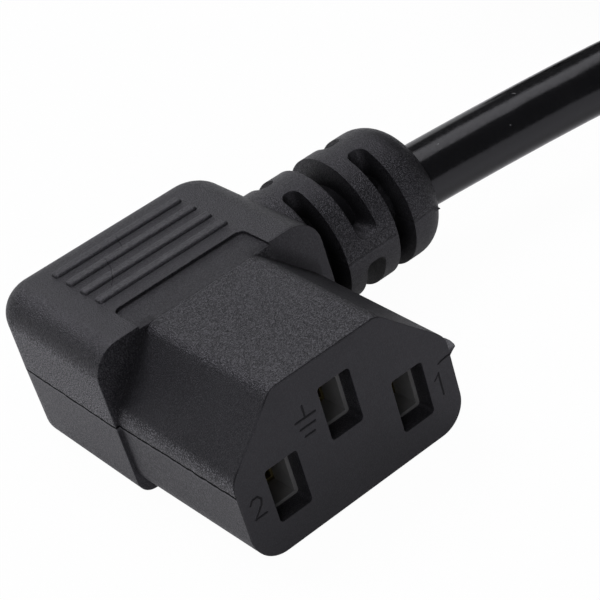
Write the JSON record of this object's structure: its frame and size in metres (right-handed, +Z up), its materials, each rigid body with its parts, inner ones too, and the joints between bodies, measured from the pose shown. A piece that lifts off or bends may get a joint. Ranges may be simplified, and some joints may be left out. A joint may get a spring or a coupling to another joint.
{
  "type": "power cord",
  "caption": "Black mains lead with a right-angle appliance connector at one end, a tied hank of round flexible cord and a straight inline plug at the other end.",
  "frame": {"origin": "under the middle of the angled connector's bounding box, at the level its underside rests on", "axes": "+X from the connector's middle towards its cord, -Y out of its mating face, +Z up"},
  "size_m": [0.195, 0.0787, 0.0351],
  "materials": {
    "overmould": "fine sandblasted soft vinyl",
    "carrier": "satin rigid insert",
    "contact": "rolled spring brass",
    "pin": "bright nickel plate",
    "copper": "stranded bare copper",
    "brown_wire": "smooth insulation",
    "blue_wire": "smooth insulation",
    "green_wire": "smooth insulation",
    "jacket": "extruded vinyl sheath with a soft sheen",
    "tie": "smooth nylon"
  },
  "bodies": {
    "root": {"connector_body": "overmould", "contact_carrier": "carrier", "line_contact": "contact", "neutral_contact": "contact", "earth_contact": "contact", "line_insulation": "brown_wire", "neutral_insulation": "blue_wire", "earth_insulation": "green_wire", "line_core": "copper", "neutral_core": "copper", "earth_core": "copper", "cord_lead": "jacket", "cord_hank": "jacket", "cord_tail": "jacket", "side_tie": "tie", "end_tie": "tie", "plug_body": "overmould", "pin_carrier": "carrier", "plug_line_pin": "pin", "plug_neutral_pin": "pin", "plug_earth_pin": "pin", "plug_line_insulation": "brown_wire", "plug_neutral_insulation": "blue_wire", "plug_earth_insulation": "green_wire", "plug_line_core": "copper", "plug_neutral_core": "copper", "plug_earth_core": "copper"}
  },
  "joints": []
}
